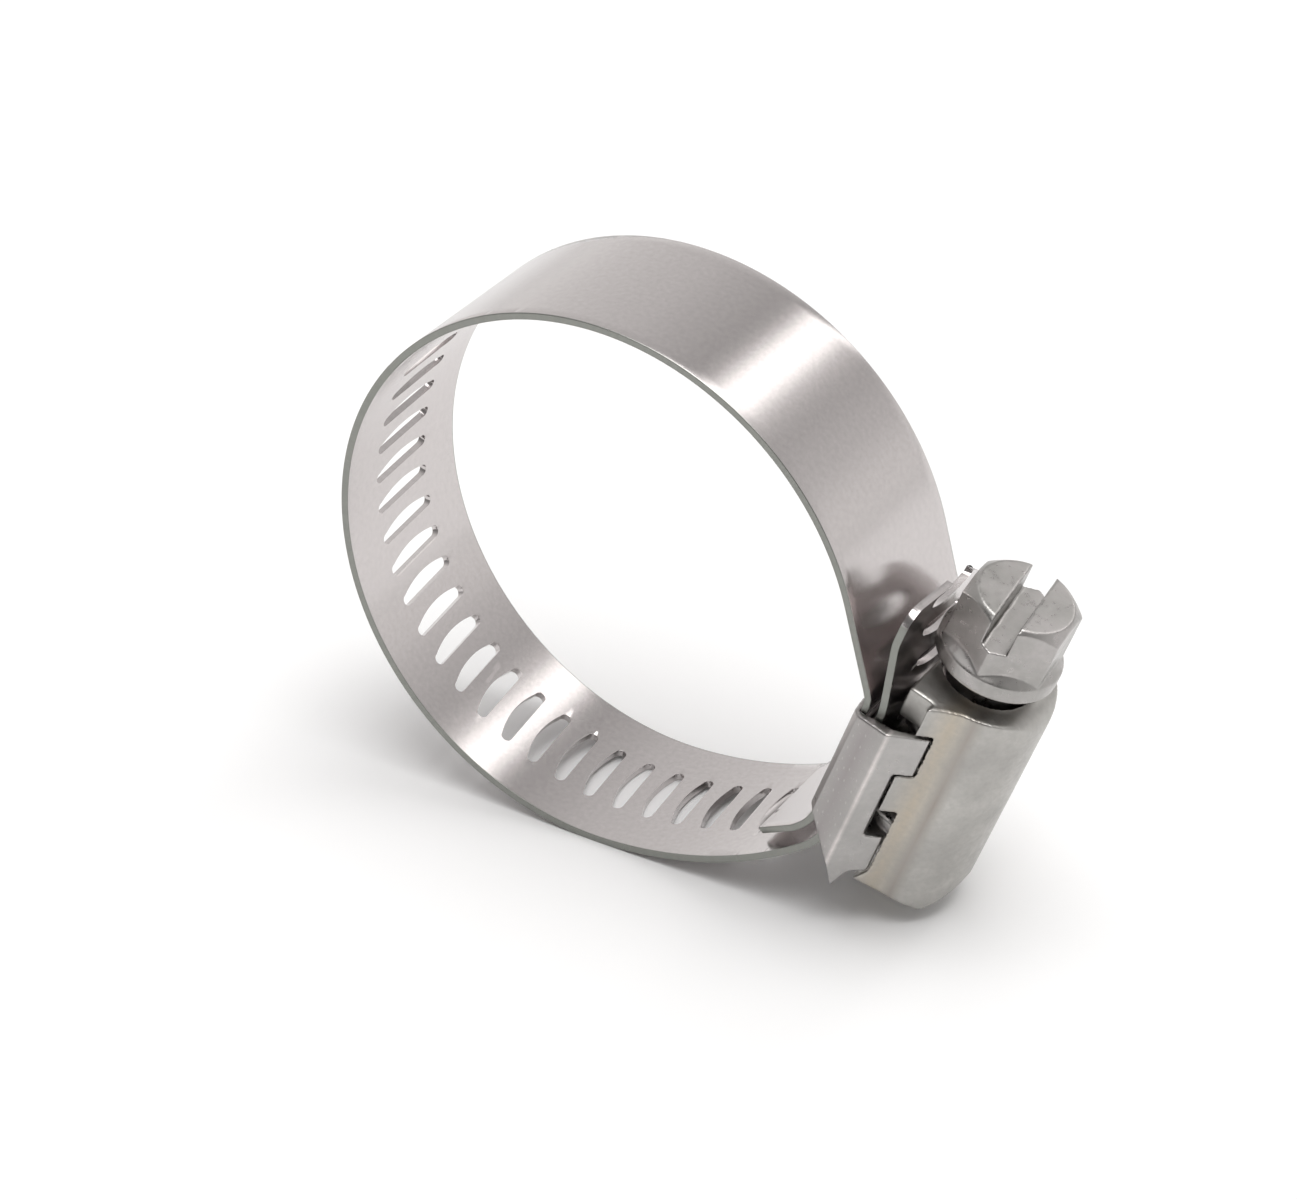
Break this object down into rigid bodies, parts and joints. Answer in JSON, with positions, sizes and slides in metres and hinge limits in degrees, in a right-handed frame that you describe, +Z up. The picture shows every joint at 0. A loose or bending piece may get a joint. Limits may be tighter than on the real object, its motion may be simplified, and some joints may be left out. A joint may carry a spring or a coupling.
{
  "type": "hose clamp",
  "caption": "Worm-drive hose clamp: a perforated steel band whose loop is closed by a slotted hex screw in a pressed housing.",
  "frame": {"origin": "centre of the hose bore, midway across the band's width", "axes": "+Y along the bore, +Z up; the screw housing is on the +X side, 20 degrees below +X"},
  "size_m": [0.0514, 0.015, 0.0398],
  "materials": {
    "band_steel": "satin",
    "housing_steel": "matte",
    "saddle_steel": "satin",
    "screw_steel": "satin"
  },
  "bodies": {
    "housing": {"housing": "housing_steel", "saddle": "saddle_steel", "band_head": "band_steel"},
    "screw": {"worm_screw": "screw_steel"},
    "grip": {"band_grip": "band_steel"},
    "tail_link": {"band_tail_link": "band_steel"},
    "tail": {"band_tail": "band_steel"},
    "entry": {"band_entry": "band_steel"},
    "loop_1": {"band_loop_1": "band_steel"},
    "loop_2": {"band_loop_2": "band_steel"},
    "loop_3": {"band_loop_3": "band_steel"}
  },
  "joints": [
    {"name": "screw_turn", "type": "hinge", "parent": "housing", "child": "screw", "pos_m": [0.02318, 0, -0.00844], "axis": [-0.342, 0, -0.9397], "range_deg": [0, 540.5]},
    {"name": "grip_slide", "type": "slide", "parent": "housing", "child": "grip", "axis": [0.342, 0, 0.9397], "range_m": [0, 0.0036]},
    {"name": "entry_flex", "type": "hinge", "parent": "grip", "child": "entry", "pos_m": [0.01789, 0, -0.01281], "axis": [0, -1, 0], "range_deg": [0, 20.01]},
    {"name": "loop_1_flex", "type": "hinge", "parent": "entry", "child": "loop_1", "pos_m": [0.01179, 0, -0.01662], "axis": [0, -1, 0], "range_deg": [-15.41, 0]},
    {"name": "loop_2_flex", "type": "hinge", "parent": "loop_1", "child": "loop_2", "pos_m": [-0.01478, 0, 0.01332], "axis": [0, -1, 0], "range_deg": [0, 0.9]},
    {"name": "loop_3_flex", "type": "hinge", "parent": "loop_2", "child": "loop_3", "pos_m": [-0.00663, 0, 0.01823], "axis": [0, -1, 0], "range_deg": [-5.54, 0]},
    {"name": "tail_link_flex", "type": "hinge", "parent": "grip", "child": "tail_link", "pos_m": [0.01997, 0, -0.00586], "axis": [0, -1, 0], "range_deg": [0, 12.1]},
    {"name": "tail_flex", "type": "hinge", "parent": "tail_link", "child": "tail", "pos_m": [0.022, 0, -0.00146], "axis": [0, -1, 0], "range_deg": [-12.1, 0]}
  ],
  "couplings": [
    {"joint": "screw_turn", "follows": "grip_slide", "rad_per_m": 2618},
    {"joint": "entry_flex", "follows": "grip_slide", "rad_per_m": 96.526},
    {"joint": "loop_1_flex", "follows": "grip_slide", "rad_per_m": -74.225},
    {"joint": "loop_2_flex", "follows": "grip_slide", "rad_per_m": 3.8785},
    {"joint": "loop_3_flex", "follows": "grip_slide", "rad_per_m": -26.374},
    {"joint": "tail_link_flex", "follows": "grip_slide", "rad_per_m": 58.178},
    {"joint": "tail_flex", "follows": "grip_slide", "rad_per_m": -58.178}
  ]
}
